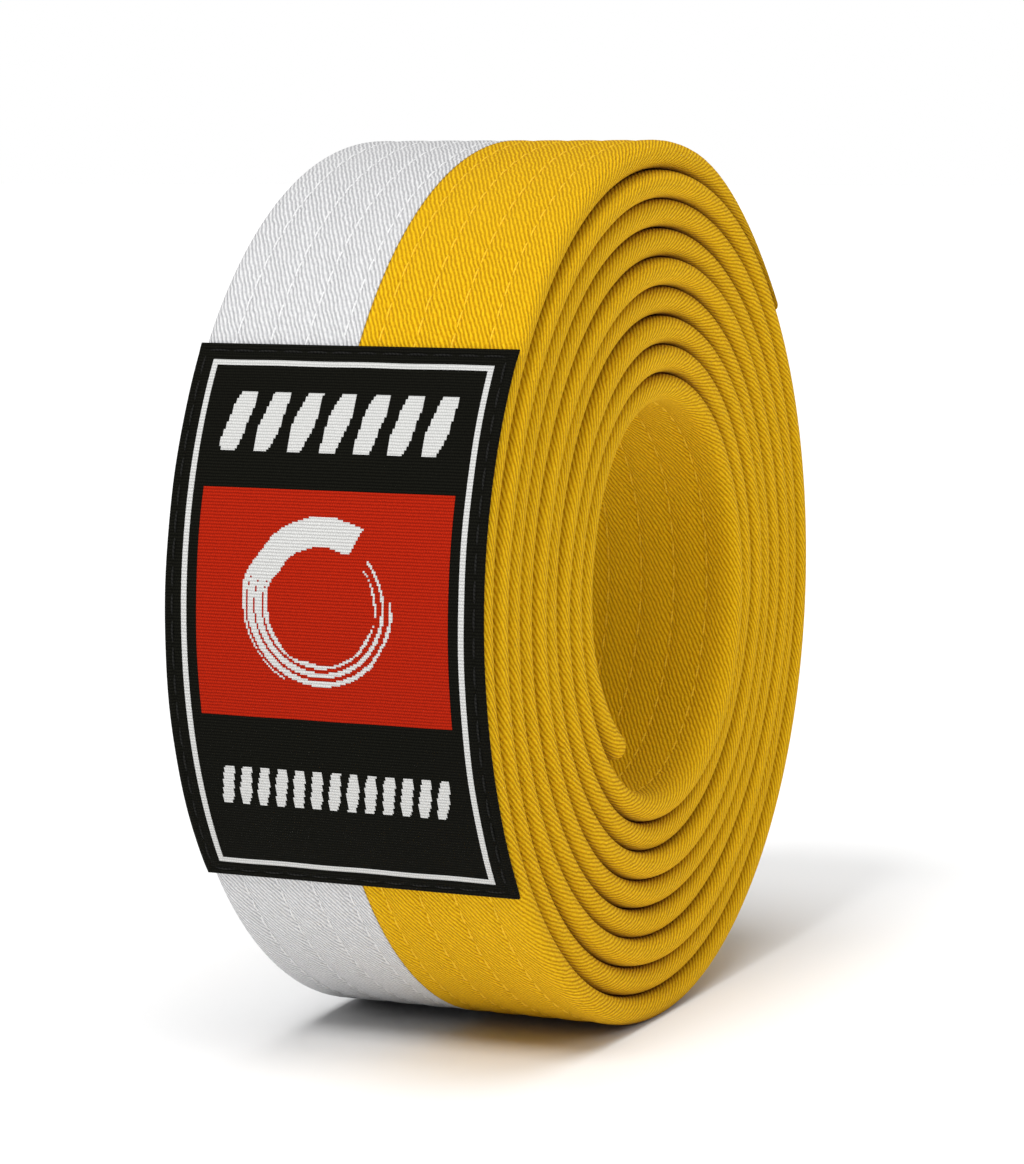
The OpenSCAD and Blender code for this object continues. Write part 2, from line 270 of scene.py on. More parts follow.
class Shader:
    """A material under construction: each call adds a node and returns the socket that holds its result."""

    SHEEN_ROUGHNESS = 0.45
    CREASE_SHADE_SOFTNESS = 0.7    # less than 1 keeps the painted shade deep inside a crease

    def __init__(self, name, roughness, sheen, specular):
        self.material = bpy.data.materials.new(name)
        self.material.use_nodes = True
        self.tree = self.material.node_tree
        self.surface = self.tree.nodes["Principled BSDF"]
        self.surface.inputs["Roughness"].default_value = roughness
        self.surface.inputs["Specular IOR Level"].default_value = specular
        self.surface.inputs["Sheen Weight"].default_value = sheen
        self.surface.inputs["Sheen Roughness"].default_value = self.SHEEN_ROUGHNESS

    def put(self, socket, value):
        if isinstance(value, bpy.types.NodeSocket):
            self.tree.links.new(value, socket)
        elif value is not None:
            socket.default_value = value

    def maths(self, operation, a, b=None, c=None):
        node = self.tree.nodes.new("ShaderNodeMath")
        node.operation = operation
        for socket, value in zip(node.inputs, (a, b, c)):
            self.put(socket, value)
        return node.outputs[0]

    def weave_uv(self):
        """(distance along, distance across, both as a vector) on the cloth, in millimetres."""
        node = self.tree.nodes.new("ShaderNodeUVMap")
        node.uv_map = "weave"
        split = self.tree.nodes.new("ShaderNodeSeparateXYZ")
        self.put(split.inputs[0], node.outputs["UV"])
        return split.outputs["X"], split.outputs["Y"], node.outputs["UV"]

    def solid_mm(self):
        """The place in the frame, in millimetres."""
        node = self.tree.nodes.new("ShaderNodeTexCoord")
        scale = self.tree.nodes.new("ShaderNodeVectorMath")
        scale.operation = "SCALE"
        self.put(scale.inputs[0], node.outputs["Object"])
        scale.inputs["Scale"].default_value = 1 / MM
        return scale.outputs[0]

    def noise(self, at, scale, detail=3.0):
        node = self.tree.nodes.new("ShaderNodeTexNoise")
        self.put(node.inputs["Vector"], at)
        node.inputs["Scale"].default_value = scale
        node.inputs["Detail"].default_value = detail
        return node.outputs["Fac"]

    def wave(self, phase):
        """0 at whole numbers of phase and 1 half way between them."""
        turned = self.maths("COSINE", self.maths("MULTIPLY", phase, 2 * math.pi))
        return self.maths("MULTIPLY_ADD", turned, -0.5, 0.5)

    def crease_shade_openness(self, reach):
        """How much of the painted crease shade stays off: 1 on an open face, falling to 0 deep in a crease;
        reach is how near the facing cloth has to be.
        """
        node = self.tree.nodes.new("ShaderNodeAmbientOcclusion")
        node.inputs["Distance"].default_value = reach
        return self.maths("POWER", node.outputs["AO"], self.CREASE_SHADE_SOFTNESS)

    def tint(self, low, high, amount):
        node = self.tree.nodes.new("ShaderNodeMix")
        node.data_type = "RGBA"
        self.put(node.inputs["Factor"], amount)
        self.put(node.inputs["A"], low if isinstance(low, bpy.types.NodeSocket) else (*low, 1))
        self.put(node.inputs["B"], high if isinstance(high, bpy.types.NodeSocket) else (*high, 1))
        return node.outputs["Result"]

    def finish(self, colour, height, relief):
        """relief is how far, in metres, a height of 1 stands above a height of 0."""
        bump = self.tree.nodes.new("ShaderNodeBump")
        bump.inputs["Distance"].default_value = relief
        self.put(bump.inputs["Height"], height)
        self.put(self.surface.inputs["Normal"], bump.outputs["Normal"])
        self.put(self.surface.inputs["Base Color"], colour)
        return self.material


# The twill, in millimetres
RIB_PITCH = 0.49
RIB_ANGLE = math.radians(28)         # between the ribs and the belt's length
FLOAT_LENGTH = 1.4
FLOAT_STAGGER = 0.38                 # how far each rib's floats are shifted against the last rib's
FLOAT_SHARE = 0.35                   # how much of a rib's height its floats take away between them
FUZZ_SHARE = 0.8                     # height of the loose fibres, beside that of a rib
FADE_MOST = 0.28                     # of the way to the faded colour
CREASE_SHADE_REACH = 2.2 * MM              # how far the painted crease shade reaches, in metres, as the material's node takes it


def twill_height(s, along, across, uv):
    """Height of the cloth's face: wavering diagonal ribs made of staggered floats, under loose fibres."""
    waver = s.maths("MULTIPLY_ADD", s.noise(uv, 0.6), 1.0, -0.5)
    to_side = s.maths("MULTIPLY_ADD", along, math.sin(RIB_ANGLE),
                      s.maths("MULTIPLY", across, math.cos(RIB_ANGLE)))
    rib = s.maths("ADD", s.maths("DIVIDE", to_side, RIB_PITCH), waver)
    along_rib = s.maths("MULTIPLY_ADD", along, math.cos(RIB_ANGLE),
                        s.maths("MULTIPLY", across, -math.sin(RIB_ANGLE)))
    stagger = s.maths("MULTIPLY", s.maths("FLOOR", rib), FLOAT_STAGGER)
    floats = s.wave(s.maths("ADD", s.maths("DIVIDE", along_rib, FLOAT_LENGTH), stagger))
    crest = s.maths("MULTIPLY_ADD", s.maths("POWER", floats, 0.5), FLOAT_SHARE, 1 - FLOAT_SHARE)
    height = s.maths("MULTIPLY", s.maths("POWER", s.wave(rib), 0.7), crest)
    fuzz = s.maths("SUBTRACT", s.noise(uv, 3.2, detail=4.0), 0.5)
    return s.maths("MULTIPLY_ADD", fuzz, FUZZ_SHARE, height)


def twill(name, painted_valley_shade, lit, faded, painted_crease_shade):
    """Steep cotton twill: painted shade between its ribs and a lit colour on them, faded in patches, and
    painted shade in its creases.
    """
    s = Shader(name, roughness=0.88, sheen=0.02, specular=0.05)
    along, across, uv = s.weave_uv()
    height = twill_height(s, along, across, uv)
    # painted shade in the valleys between the ribs, lit colour on their crests
    colour = s.tint(painted_valley_shade, lit, s.maths("POWER", s.maths("MAXIMUM", height, 0.0), 0.8))
    patches = s.maths("MULTIPLY_ADD", s.noise(uv, 0.05, detail=2.0), 1.6, -0.5)
    fading = s.maths("MULTIPLY", s.maths("MAXIMUM", patches, 0.0), FADE_MOST)
    colour = s.tint(colour, faded, fading)
    # painted shade: an ambient occlusion node darkens the cloth towards a shade colour in the creases between
    # wraps and folds
    colour = s.tint(painted_crease_shade, colour, s.crease_shade_openness(CREASE_SHADE_REACH))
    return s.finish(colour, height, relief=0.16 * MM)


def thread(name, painted_valley_shade, lit):
    """Spun sewing thread: two twisted strands, with painted shade where they meet."""
    twists_along, twists_round = 2.2, 0.9     # to a millimetre
    s = Shader(name, roughness=0.8, sheen=0.03, specular=0.08)
    along, across, uv = s.weave_uv()
    twist = s.wave(s.maths("MULTIPLY_ADD", along, twists_along, s.maths("MULTIPLY", across, twists_round)))
    height = s.maths("MULTIPLY_ADD", s.noise(uv, 6.0), 0.4, twist)
    # painted shade where the strands meet, lit colour on them
    return s.finish(s.tint(painted_valley_shade, lit, height), height, relief=0.02 * MM)


def woven_label(name, painted_valley_shade, lit):
    """Satin weave of a label: close level lines of weft over a finer warp, with a slight shine and painted
    shade between the lines.
    """
    line_pitch, warp_pitch, weft_share = 0.36, 0.30, 0.65
    s = Shader(name, roughness=0.75, sheen=0.0, specular=0.04)
    along, across, uv = s.weave_uv()
    row = s.maths("DIVIDE", s.maths("MULTIPLY_ADD", s.noise(uv, 0.8), 0.12, along), line_pitch)
    stagger = s.maths("MULTIPLY", s.maths("FLOOR", row), 0.5)
    column = s.maths("ADD", s.maths("DIVIDE", across, warp_pitch), stagger)
    fuzz = s.noise(uv, 2.6, detail=4.0)
    weft = s.maths("MULTIPLY", s.wave(row), weft_share)
    height = s.maths("MULTIPLY_ADD", s.wave(column), 1 - weft_share, weft)
    height = s.maths("MULTIPLY_ADD", s.maths("SUBTRACT", fuzz, 0.5), 0.5, height)
    # painted shade between the weft lines, lit colour on them
    return s.finish(s.tint(painted_valley_shade, lit, height), height, relief=0.07 * MM)


def canvas(name, painted_valley_shade, lit):
    """Plain unbleached cotton for the plies and threads inside the belt, with painted shade between its
    threads.
    """
    threads_per_mm = 1.6
    s = Shader(name, roughness=0.9, sheen=0.2, specular=0.25)
    at = s.solid_mm()
    split = s.tree.nodes.new("ShaderNodeSeparateXYZ")
    s.put(split.inputs[0], at)
    weft = s.wave(s.maths("MULTIPLY", split.outputs["X"], threads_per_mm))
    round_roll = s.maths("ADD", split.outputs["Y"], split.outputs["Z"])
    warp = s.wave(s.maths("MULTIPLY", round_roll, threads_per_mm))
    height = s.maths("MULTIPLY_ADD", s.noise(at, 3.0), 0.6, s.maths("MULTIPLY", weft, warp))
    # painted shade between the threads, lit colour on them
    return s.finish(s.tint(painted_valley_shade, lit, height), height, relief=0.08 * MM)


# Colours of each material: painted shade for the valleys of its weave, then the lit colour on its crests; the
# twills also take a faded colour and a painted shade colour for their creases.
MATERIALS = {
    "white_twill": twill("white_twill", (0.48, 0.48, 0.50), (0.90, 0.90, 0.90), (0.80, 0.80, 0.80),
                         painted_crease_shade=(0.24, 0.24, 0.26)),
    "yellow_twill": twill("yellow_twill", (0.55, 0.24, 0.0006), (0.98, 0.60, 0.010), (0.92, 0.54, 0.010),
                          painted_crease_shade=(0.21, 0.065, 0.0003)),
    "white_thread": thread("white_thread", (0.76, 0.76, 0.77), (0.90, 0.90, 0.90)),
    "yellow_thread": thread("yellow_thread", (0.84, 0.49, 0.012), (0.95, 0.61, 0.03)),
    "black_thread": thread("black_thread", (0.003, 0.003, 0.003), (0.018, 0.018, 0.016)),
    "label_black": woven_label("label_black", (0.0015, 0.0015, 0.001), (0.009, 0.009, 0.006)),
    "label_white": woven_label("label_white", (0.48, 0.48, 0.47), (0.76, 0.76, 0.74)),
    "label_red": woven_label("label_red", (0.26, 0.008, 0.002), (0.52, 0.021, 0.004)),
    "cotton_core": canvas("cotton_core", (0.52, 0.48, 0.38), (0.82, 0.78, 0.68)),
}


def place(piece, body, nodes, bend=None):
    """Ties a finished piece to its body, or, for a piece that bends, only bakes its place into its mesh;
    either way it hides the CAD parts the piece stands for.
    """
    if bend:
        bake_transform(piece)
    else:
        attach(piece, body)
    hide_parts(*nodes)


# ---- the lengths of the belt: one for the roll, and one across each hinge ----

def bend_line(start_turn, end_turn):
    """The two points, in the middle of the belt, between which a length bends."""
    return [(0, *map(float, strip_at(turn, belt_thick / 2))) for turn in (start_turn, end_turn)]


LENGTHS_OF_BELT = [
    {"name": "inner", "from": INNER_END, "to": INNER_BORDER, "body": ("roll", "inner_end"),
     "bend": bend_line(INNER_HINGE + INNER_BEND, INNER_HINGE - INNER_BEND)},
    {"name": "roll", "from": INNER_BORDER, "to": OUTER_BORDERS[0], "body": "roll", "bend": None},
]
OUTER_BODIES = ["roll", *(f"outer_end_{i + 1}" for i in range(OUTER_HINGE_COUNT))]
for i, hinge_turn in enumerate(OUTER_HINGES):
    LENGTHS_OF_BELT.append({
        "name": f"outer_{i + 1}",
        "from": OUTER_BORDERS[i],
        "to": OUTER_BORDERS[i + 1],
        "body": (OUTER_BODIES[i], OUTER_BODIES[i + 1]),
        "bend": bend_line(hinge_turn - OUTER_BEND, hinge_turn + OUTER_BEND)})


def turns_between(start, end):
    """Cross-sections of one length: at both borders, at whole steps, and close together at a true end."""
    inside = np.arange(math.floor(start / TURN_STEP) + 1, math.ceil(end / TURN_STEP)) * TURN_STEP
    turns = [start, *inside, end]
    for tip, inwards in ((INNER_END, 1), (OUTER_END, -1)):
        if tip in (start, end):
            for share in END_SHARES:
                turns.append(float(turn_at(length_at(tip) + inwards * share * END_ROUND)))
    return np.unique(turns)


# Offsets from a stitch row to the points of a cross-section near it, closest where the cloth is pulled in
NEAR_ROW = np.array([-1.35, -0.65, -0.25, 0, 0.25, 0.65, 1.35]) * MM
BESIDE_SEAM = 0.4 * MM
BEFORE_FOLD = 0.7 * MM


def groove(x):
    """How far a row of stitches pulls the cloth in, at a distance from the seam."""
    from_row = np.abs(np.sin(math.pi * (x - ROW_X[0]) / ROW_PITCH))
    from_row = np.where(x > ROW_X[-1] + ROW_PITCH / 2, 1.0, from_row)
    return GROOVE * (1 - from_row) ** 2


def half_section():
    """(depth, distance from the seam) round one half of the belt: out along the outer face, round the
    folded edge and back along the inner face."""
    edge_start = half_width - EDGE_REACH
    face = np.array([SEAM_HALF, BESIDE_SEAM, *(row + offset for row in ROW_X for offset in NEAR_ROW)])
    face = np.append(face, [edge_start - BEFORE_FOLD, edge_start])
    bend = np.linspace(0, math.pi, EDGE_POINTS + 2)[1:-1]
    swing = np.abs(np.cos(bend)) ** (2 / EDGE_POWER) * np.sign(np.cos(bend))
    edge_depth = belt_thick / 2 * (1 + swing)
    edge_x = edge_start + EDGE_REACH * np.sin(bend) ** (2 / EDGE_POWER)
    depth = np.concatenate([belt_thick - groove(face), edge_depth, groove(face[::-1])])
    return depth, np.concatenate([face, edge_x, face[::-1]])


def end_fullness(turns):
    """1 along the belt, falling in a quarter circle to a rounded lip at each true end."""
    from_end = np.minimum(length_at(turns), LENGTHS[-1] - length_at(turns))
    t = np.clip(from_end / END_ROUND, 0, 1)
    return END_LIP + (1 - END_LIP) * np.sqrt(1 - (1 - t) ** 2)


def thickness_at(turns):
    """The belt's thickness: whole nearly everywhere, and less towards the outer hem, which lies flatter."""
    from_end = LENGTHS[-1] - length_at(turns)
    return belt_thick * (OUTER_THIN + (1 - OUTER_THIN) * smooth_step(from_end / OUTER_TAPER))


def cover(length, side):
    """One half of the twill cover over one length of the belt."""
    colour = "white" if side < 0 else "yellow"
    depth, x = half_section()
    turns = turns_between(length["from"], length["to"])
    at_edge = (x / half_width) ** EDGE_FALLOFF
    full = end_fullness(turns)[:, None]
    swell = EDGE_SWELL * wander(turns, SWELL_SEED + side)[:, None] * at_edge
    thick = thickness_at(turns)[:, None]
    depths = thick / 2 + (depth / belt_thick - 0.5) * thick * full + swell
    shift = EDGE_WANDER * (wander(turns, WANDER_SEED + side)[:, None] - EDGE_BIAS)
    xs = x + shift * at_edge - END_ROUND * (1 - full) * at_edge
    y, z = strip_at(turns[:, None], depths)
    points = np.stack([side * xs, y, z], axis=-1)
    steps = np.hypot(np.diff(depth), np.diff(x))
    across = side * (SEAM_HALF + np.concatenate([[0], np.cumsum(steps)]))
    across = np.broadcast_to(across, depths.shape)
    piece = tube(f"{colour}_cover_{length['name']}_cloth", points if side > 0 else points[:, ::-1],
                 length_at(turns), across if side > 0 else across[:, ::-1], MATERIALS[f"{colour}_twill"])
    place(piece, length["body"], [f"{colour}_cover_{length['name']}"], length["bend"])


def strand(name, turns, depth_at, x_at, material):
    """A strip of any small cross-section that runs along inside the belt."""
    y, z = strip_at(turns[:, None], depth_at[None, :] * (thickness_at(turns) / belt_thick)[:, None])
    points = np.stack([np.broadcast_to(x_at, y.shape), y, z], axis=-1)
    across = np.concatenate([[0], np.cumsum(np.hypot(np.diff(depth_at), np.diff(x_at)))])
    return tube(name, points, length_at(turns), np.broadcast_to(across, y.shape), material)


PLY_COUNT = 4
COVER_THICK = 0.6 * MM
PLY_GAP = 0.04 * MM
PLY_EDGE = 1.7 * MM          # how far the plies stay in from the belt's edge
SEAM_THREAD_RADIUS = 0.12 * MM
CORE_SETBACK = 1.5 * MM      # how far the plies and seam threads stay in from each end of the belt
SEAM_THREAD_SIDES = 6


def core_turns(length):
    """Cross-sections of what lies inside one length of the belt."""
    start = max(length["from"], float(turn_at(CORE_SETBACK)))
    end = min(length["to"], float(turn_at(LENGTHS[-1] - CORE_SETBACK)))
    return turns_between(start, end)


def core_plies(length):
    """The cotton plies inside one length of the belt."""
    turns = core_turns(length)
    ply_pitch = (belt_thick - 2 * COVER_THICK) / PLY_COUNT
    half = half_width - PLY_EDGE
    plies = []
    for i in range(PLY_COUNT):
        low = COVER_THICK + i * ply_pitch + PLY_GAP / 2
        high = low + ply_pitch - PLY_GAP
        plies.append(strand("ply", turns, np.array([low, high, high, low]),
                            np.array([-half, -half, half, half]), MATERIALS["cotton_core"]))
    if length["name"] == "roll":
        nodes = [f"core_ply_{i + 1}_roll" for i in range(PLY_COUNT)]
    else:
        nodes = [f"core_plies_{length['name']}"]
    piece = join(f"core_plies_{length['name']}_cotton", plies)
    place(piece, length["body"], nodes, length["bend"])


def panel_seam(length):
    """The threads that join the white and the yellow panel, inside both faces of one length of the belt."""
    turns = core_turns(length)
    ring = np.radians(np.arange(0, 360, 360 / SEAM_THREAD_SIDES))
    rise, x = SEAM_THREAD_RADIUS * np.sin(ring), SEAM_THREAD_RADIUS * np.cos(ring)
    middles = (COVER_THICK - SEAM_THREAD_RADIUS, belt_thick - COVER_THICK + SEAM_THREAD_RADIUS)
    seams = [strand("seam", turns, middle + rise, x, MATERIALS["white_thread"]) for middle in middles]
    piece = join(f"panel_seam_{length['name']}_threads", seams)
    place(piece, length["body"], [f"panel_seam_{length['name']}"], length["bend"])


# ---- stitches: short arcs of thread that dive into the cloth at both ends ----

ARC_STEPS = 7
ARC_SIDES = 6


def stitch_shape():
    """(along, across, height) of each point of one stitch, with height 0 at the cloth."""
    t = np.linspace(-1, 1, ARC_STEPS)[:, None]
    rise = np.cos(t * math.pi / 2) ** STITCH_FULLNESS
    radius = THREAD_RADIUS * (STITCH_TIP + (1 - STITCH_TIP) * rise)
    ring = np.radians(np.arange(0, 360, 360 / ARC_SIDES))[None, :]
    along = np.broadcast_to(t * STITCH_LENGTH / 2, (ARC_STEPS, ARC_SIDES))
    across = radius * np.cos(ring)
    height = radius * np.sin(ring) - THREAD_RADIUS + STITCH_RISE * THREAD_RADIUS * rise
    return along, across, height


def stitches(name, runs, material):
    """One mesh of stitches. A run is (middles, across, place_at), where place_at(along, across, height)
    gives the three coordinates of a point."""
    along, across, height = stitch_shape()
    parts = []
    for middles, offset, place_at in runs:
        if len(middles):
            middles = np.asarray(middles)[:, None, None]
            heights = np.broadcast_to(height, (len(middles), *along.shape))
            placed = place_at(middles + along, offset + across, heights)
            parts.append(np.stack(np.broadcast_arrays(*placed), axis=-1))
    points = np.concatenate(parts)
    sides, caps = tube_faces(ARC_STEPS, ARC_SIDES)
    faces = np.concatenate([sides, caps])
    count = ARC_STEPS * ARC_SIDES
    starts = np.arange(len(points))[:, None, None] * count
    local = np.stack([along, across * 2], axis=-1).reshape(-1, 2)
    uv = np.broadcast_to(local[faces], (len(points), *faces.shape, 2))
    return make_mesh(name, points, (faces + starts).reshape(-1, 4), uv.reshape(-1, 4, 2), material)


def spaced(start, end, phase=0.5):
    """Middles of the stitches between two places along a row."""
    first = math.ceil(start / STITCH_PITCH - phase)
    last = math.ceil(end / STITCH_PITCH - phase)
    return (np.arange(first, last) + phase) * STITCH_PITCH


def on_face(outer, row_x):
    """Places the points of a lengthwise row on the outer or the inner face."""
    def place_at(along, across, height):
        turn = turn_at(along)
        depth = thickness_at(turn) - GROOVE + height if outer else GROOVE - height
        y, z = strip_at(turn, depth)
        return row_x + across, y, z
    return place_at


# Stretches, as turns, of the outer face (True) and of the inner face (False) that show at rest or when an
# end moves, and a little more. The rows are left out where two wraps always lie face to face.
SHOWN = {True: ((INNER_END, INNER_HINGE + 10), (OUTER_END - 465, OUTER_END)),
         False: ((INNER_END, 365), (OUTER_HINGE - 15, OUTER_END))}
ROW_SHIFT = 0.37             # how far each row's stitches lag behind its neighbour's, in stitches
WHITE_SHIFT = 0.2
INNER_FACE_SHIFT = 0.5


def lengthwise_rows(length, side):
    """The lockstitch rows in one half of one length of belt, on both faces, short of the hems."""
    colour = "white" if side < 0 else "yellow"
    runs = []
    for i, row_x in enumerate(ROW_X):
        for outer, stretches in SHOWN.items():
            for first, last in stretches:
                start = max(length_at(max(first, length["from"])), HEM_LENGTH)
                end = min(length_at(min(last, length["to"])), LENGTHS[-1] - HEM_LENGTH)
                phase = ROW_SHIFT * i + WHITE_SHIFT * (side < 0) + INNER_FACE_SHIFT * (not outer)
                runs.append((spaced(start, end, phase % 1), 0.0, on_face(outer, side * row_x)))
    piece = stitches(f"{colour}_stitches_{length['name']}", runs, MATERIALS[f"{colour}_thread"])
    if length["name"] == "roll":
        nodes = [f"{colour}_needle_threads_roll", f"{colour}_bobbin_threads_roll"]
    else:
        nodes = [f"{colour}_threads_{length['name']}"]
    place(piece, length["body"], nodes, length["bend"])


def across_face(outer, row):
    """Places the points of a level row, at a length from the inner end, on the outer or the inner face."""
    pulled_in = GROOVE / 3

    def place_at(along, across, height):
        turn = turn_at(row + across)
        depth = thickness_at(turn) - pulled_in + height if outer else pulled_in - height
        y, z = strip_at(turn, depth)
        return along, y, z
    return place_at


def hem(length, name, end_length, inwards):
    """The rows of stitches across the belt that close one of its ends, on both faces."""
    runs = []
    reach = half_width - 2 * EDGE_REACH
    for i in range(HEM_ROWS):
        row = end_length + inwards * (i + 1) * HEM_LENGTH / (HEM_ROWS + 1)
        for outer in (True, False):
            runs.append((spaced(-reach, reach), 0.0, across_face(outer, row)))
    piece = stitches(name, runs, MATERIALS["yellow_thread"])
    place(piece, length["body"], [name.replace("_thread", "")], length["bend"])


for belt_length in LENGTHS_OF_BELT:
    for half in (-1, 1):
        cover(belt_length, half)
        lengthwise_rows(belt_length, half)
    core_plies(belt_length)
    panel_seam(belt_length)
hem(LENGTHS_OF_BELT[0], "inner_hem_stitches_thread", 0.0, 1)
hem(LENGTHS_OF_BELT[-1], "outer_hem_stitches_thread", LENGTHS[-1], -1)

# ---- the label ----

LABEL_LOW = -35.0            # the turns of the label's lower and upper edges
LABEL_HIGH = 34.5
LABEL_THICK = 0.5 * MM
LABEL_LIFT = 0.03 * MM       # between the belt and the underside of the label
LABEL_HEM = 0.12 * MM        # extra height of the turned-in border
EDGE_INSET = 1.1 * MM        # from the label's edge to its stitching
FRAME_INSET = 2.3 * MM
FRAME_LINE = 0.65 * MM
FRAME_STEPS = 60
FIELD_HALF_WIDTH = 15.5 * MM
FIELD_MIDDLE = 2.2           # the turn of the red field's middle
FIELD_HALF_TURN = 13.7
FIELD_STEPS = 28, 32
FIGURE_HEIGHT = 0.07 * MM
FIGURE_DEPTH = 0.03 * MM     # how far a woven figure reaches down into the label
FIGURE_SHARP = math.radians(40)    # edges steeper than this are shaded sharp
BORDER_LIP = 0.6 * MM        # length over which the label rounds off at its edge
LIP_FULLNESS = 0.25          # what is left of the thickness at the very edge
BORDER_WIDTH = 1.7 * MM
BORDER_SLOPE = 0.6 * MM
STITCH_PULL = 0.16 * MM      # how deep the edge stitching sinks into the border
STITCH_PULL_WIDTH = 0.3 * MM
STITCH_SINK = 0.14 * MM      # where the edge stitches lie, below the label's full thickness
QUILT = 0.04 * MM            # softness of the label's face
QUILT_UP, QUILT_ACROSS = 2.1 * MM, 1.7 * MM
QUILT_PHASE = 0.6
LABEL_STEP = 1.0 * MM
EDGE_BOW = 0.12 * MM         # waviness of the label's upright edges
EDGE_BOW_SWING = 7           # radians of that wave over the label's height
EDGE_BOW_FALLOFF = 5
label_radius = outer_radius + LABEL_LIFT
label_top = label_radius + LABEL_THICK
label_span = [math.radians(turn) * label_top for turn in (LABEL_LOW, LABEL_HIGH)]


def on_label(up, x, height):
    """The point at a distance up the label from its level middle, and a height above its underside."""
    angle = up / label_top
    radius = label_radius + height
    return x, -radius * np.cos(angle), roll_height + radius * np.sin(angle)


def label_relief(up, x):
    """Height of the label's face: a turned-in border, pulled down along its stitching, and a flat middle."""
    from_edge = np.minimum(label_half - np.abs(x), np.minimum(up - label_span[0], label_span[1] - up))
    lip = np.sqrt(1 - (1 - np.clip(from_edge / BORDER_LIP, 0, 1)) ** 2)
    border = LABEL_HEM * (1 - smooth_step((from_edge - BORDER_WIDTH) / BORDER_SLOPE))
    stitched = STITCH_PULL * np.exp(-((from_edge - EDGE_INSET) / STITCH_PULL_WIDTH) ** 2)
    quilt = QUILT * np.sin(up / QUILT_UP) * np.sin(x / QUILT_ACROSS + QUILT_PHASE)
    middle = (LABEL_THICK - LABEL_HEM + quilt) * (LIP_FULLNESS + (1 - LIP_FULLNESS) * lip)
    return middle + (border - stitched) * lip


# Distances from the label's edge at which its border needs points
NEAR_EDGE = np.array([0, 0.1, 0.25, 0.45, 0.65, 0.85, 1.0, 1.1, 1.2, 1.4, 1.7, 2.0, 2.3]) * MM


def graded(low, high, step):
    """Positions from low to high, closer together near both ends where the border is."""
    middle = np.linspace(low + NEAR_EDGE[-1], high - NEAR_EDGE[-1], int((high - low) / step))[1:-1]
    return np.concatenate([low + NEAR_EDGE, middle, (high - NEAR_EDGE)[::-1]])


def label_patch():
    """The label itself, as a flat closed tube whose rings run across the belt."""
    ups = graded(*label_span, LABEL_STEP)
    face_x = graded(-label_half, label_half, LABEL_STEP)
    wave = np.sin(np.linspace(0, EDGE_BOW_SWING, len(ups)))[:, None]
    bow = EDGE_BOW * wave * (face_x / label_half) ** EDGE_BOW_FALLOFF
    top = label_relief(ups[:, None], face_x[None, :])
    xs = np.concatenate([face_x[None, :] + bow, (face_x[None, :] + bow)[:, ::-1]], axis=1)
    heights = np.concatenate([top, np.zeros_like(top)], axis=1)
    points = np.stack(on_label(ups[:, None], xs, heights), axis=-1)
    piece = tube("label_patch_woven", points, ups, xs, MATERIALS["label_black"])
    place(piece, "roll", ["label_patch"])


# For each neighbour of a grid cell, the corners at the two ends of the side that they share
CELL_SIDES = {(0, -1): ((0, 0), (1, 0)), (0, 1): ((1, 1), (0, 1)),
              (-1, 0): ((0, 1), (0, 0)), (1, 0): ((1, 0), (1, 1))}


def quad_cells(index, cell):
    """The face over each chosen cell of a grid of points."""
    corners = (index[:-1, :-1], index[:-1, 1:], index[1:, 1:], index[1:, :-1])
    return np.stack([corner[cell] for corner in corners], axis=-1)


def figure(name, node, slot, ups, xs, inside, height=FIGURE_HEIGHT):
    """A woven figure: the cells of a grid whose middles are inside it, raised a little above the label."""
    mid_up, mid_x = (ups[1:] + ups[:-1]) / 2, (xs[1:] + xs[:-1]) / 2
    cell = inside(mid_up[:, None], mid_x[None, :])
    grid_up, grid_x = np.meshgrid(ups, xs, indexing="ij")
    base = label_relief(grid_up, grid_x)
    layers = [np.stack(on_label(grid_up, grid_x, base + rise), axis=-1) for rise in (height, -FIGURE_DEPTH)]
    points = np.concatenate([layer.reshape(-1, 3) for layer in layers])
    index = np.arange(grid_up.size).reshape(grid_up.shape)
    under = index + grid_up.size
    faces = [quad_cells(index, cell), quad_cells(under, cell)[:, ::-1]]
    padded = np.pad(cell, 1)
    rows, columns = len(mid_up), len(mid_x)
    for (shift_up, shift_x), (a, b) in CELL_SIDES.items():
        beside = padded[1 + shift_up:1 + shift_up + rows, 1 + shift_x:1 + shift_x + columns]
        i, j = np.nonzero(cell & ~beside)
        first, second = (i + a[0], j + a[1]), (i + b[0], j + b[1])
        faces.append(np.stack([index[first], index[second], under[second], under[first]], axis=-1))
    faces = np.concatenate(faces)
    used, faces = np.unique(faces, return_inverse=True)
    faces = faces.reshape(-1, 4)
    flat = np.stack([np.tile(grid_up.ravel(), 2), np.tile(grid_x.ravel(), 2)], axis=-1)[used]
    piece = make_mesh(name, points[used], faces, flat[faces], MATERIALS[slot])
    piece.data.set_sharp_from_angle(angle=FIGURE_SHARP)
    place(piece, "roll", [node])


def frame_line():
    """The thin line round the label, inside its border."""
    low, high = label_span[0] + FRAME_INSET, label_span[1] - FRAME_INSET
    side = label_half - FRAME_INSET

    def lines(start, end):
        middle = np.linspace(start + FRAME_LINE, end - FRAME_LINE, FRAME_STEPS)
        return np.concatenate([[start], middle, [end]])

    def inside(up, x):
        off_side = np.abs(x) > side - FRAME_LINE
        return off_side | (up < low + FRAME_LINE) | (up > high - FRAME_LINE)
    figure("label_frame_line_woven", "label_frame_line", "label_white",
           lines(low, high), lines(-side, side), inside)


